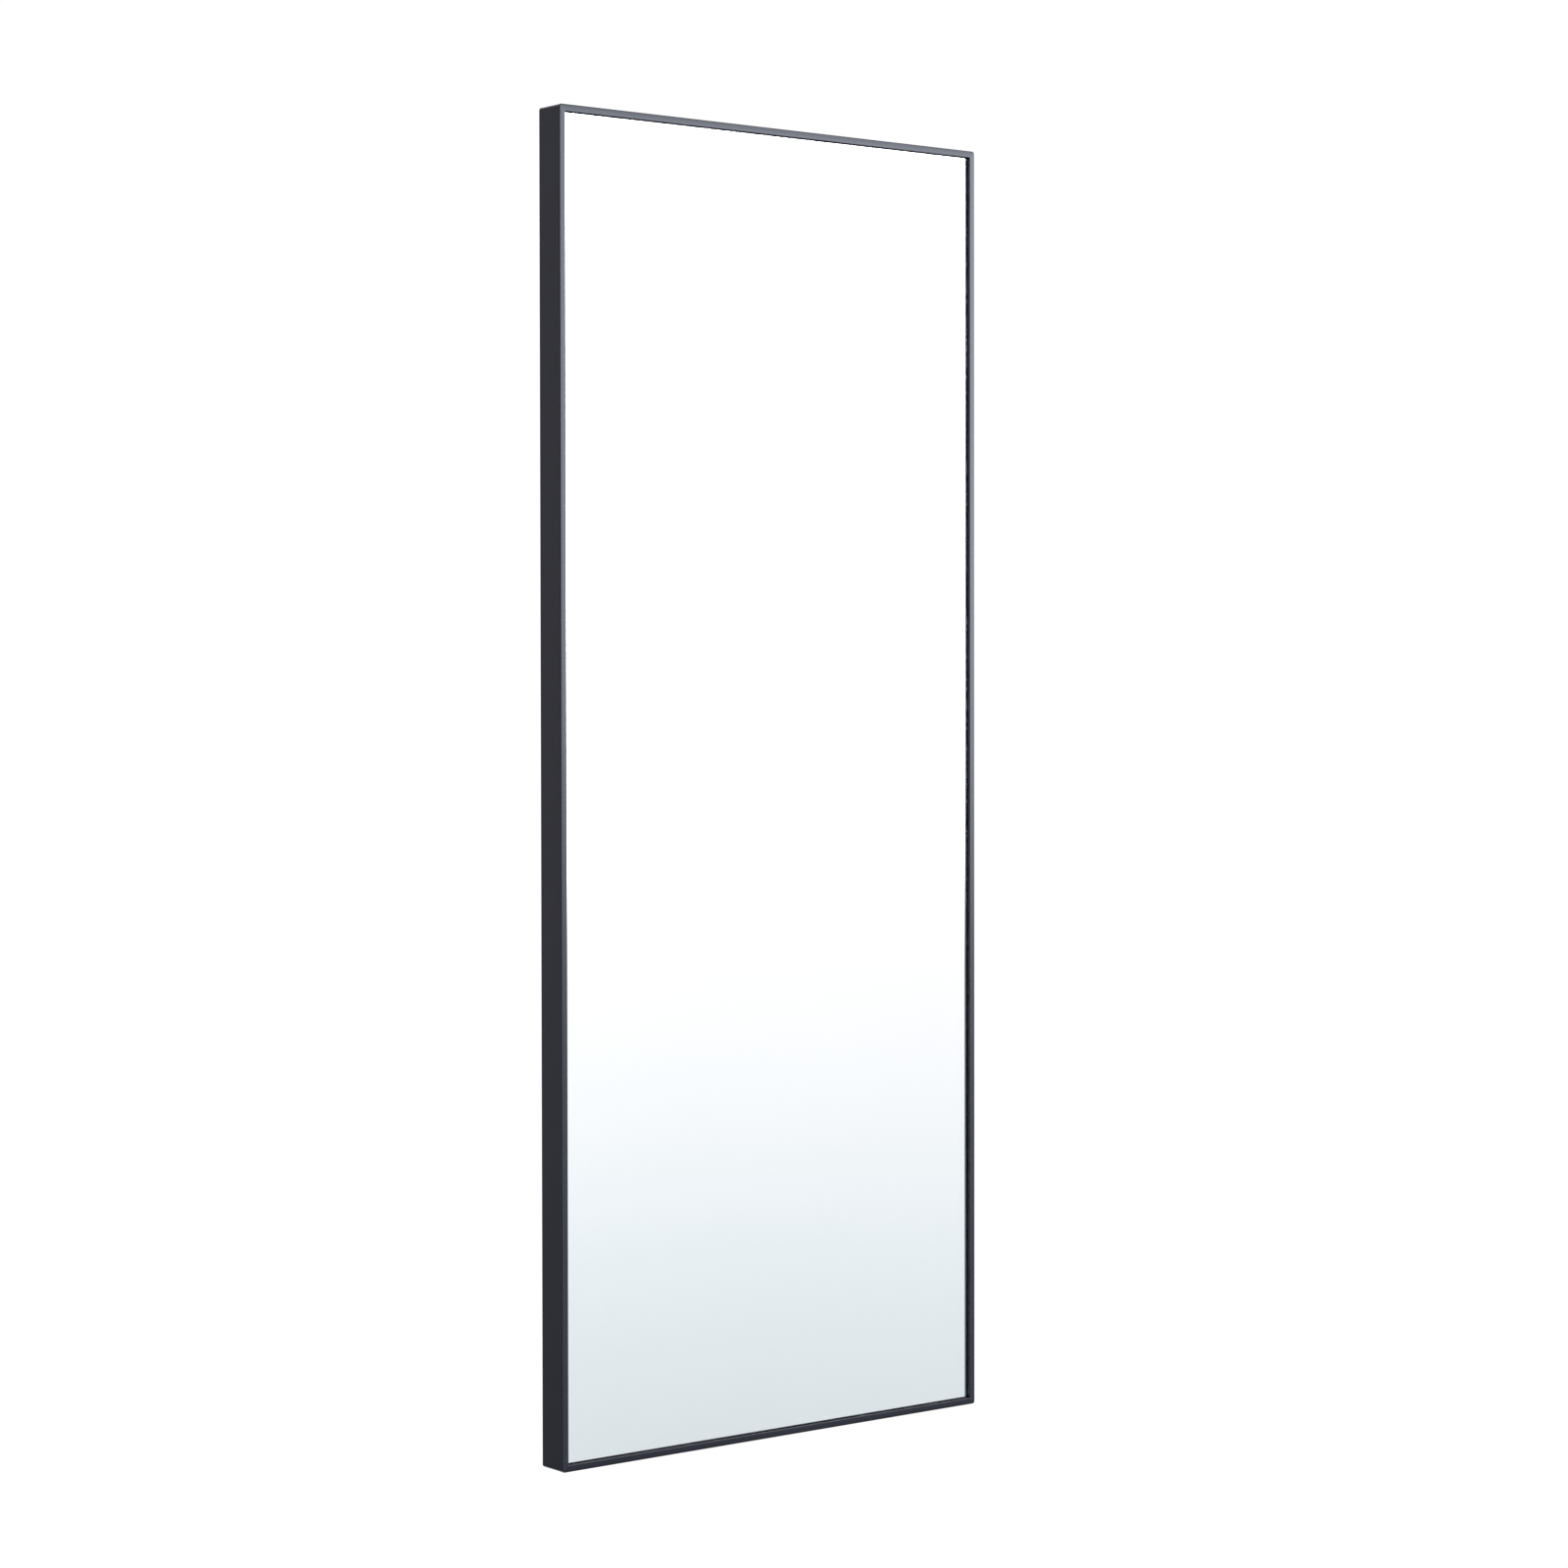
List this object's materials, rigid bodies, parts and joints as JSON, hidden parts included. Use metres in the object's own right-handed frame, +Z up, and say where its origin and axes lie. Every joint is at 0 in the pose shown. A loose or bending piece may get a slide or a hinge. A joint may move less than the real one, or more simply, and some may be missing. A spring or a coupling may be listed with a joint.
{
  "type": "wall mirror",
  "caption": "Tall rectangular wall mirror in a slim, deep black metal frame, with slightly recessed glass and hanging rings behind.",
  "frame": {"origin": "on the wall plane, behind the centre of the mirror", "axes": "+X to the viewer's right, +Y into the wall, so the mirror faces -Y, +Z up"},
  "size_m": [0.61, 0.041, 1.524],
  "materials": {
    "frame_black": "satin black powder coat on extruded aluminium",
    "cast_key": "as cast",
    "zinc_steel": "bright zinc plated",
    "spring_steel": "blued spring steel",
    "clear_glass": "polished float glass",
    "silvering": "silver seen through the glass, grey protective paint behind",
    "film": "thin vinyl film",
    "foam": "closed-cell foam tape",
    "block_rubber": "moulded",
    "bumper_rubber": "moulded",
    "fibreboard": "plain medium-density fibreboard"
  },
  "bodies": {
    "frame": {"left_stile": "frame_black", "right_stile": "frame_black", "top_rail": "frame_black", "bottom_rail": "frame_black", "corner_key_top_left": "cast_key", "corner_key_top_right": "cast_key", "corner_key_bottom_left": "cast_key", "corner_key_bottom_right": "cast_key", "corner_screws": "zinc_steel", "glass_pane": "clear_glass", "silver_coat": "silvering", "safety_film": "film", "foam_tapes": "foam", "setting_blocks": "block_rubber", "backing_board": "fibreboard", "spring_clips": "spring_steel", "hanger_strap_left": "zinc_steel", "hanger_strap_right": "zinc_steel", "hanger_screws": "zinc_steel", "wall_bumpers": "bumper_rubber"},
    "ring_left": {"hanger_ring_left": "zinc_steel"},
    "ring_right": {"hanger_ring_right": "zinc_steel"}
  },
  "joints": [
    {"name": "left_ring_swing", "type": "hinge", "parent": "frame", "child": "ring_left", "pos_m": [-0.2925, -0.00485, 0.512], "axis": [1, 0, 0], "range_deg": [-1, 181]},
    {"name": "right_ring_swing", "type": "hinge", "parent": "frame", "child": "ring_right", "pos_m": [0.2925, -0.00485, 0.512], "axis": [1, 0, 0], "range_deg": [-1, 181]}
  ]
}
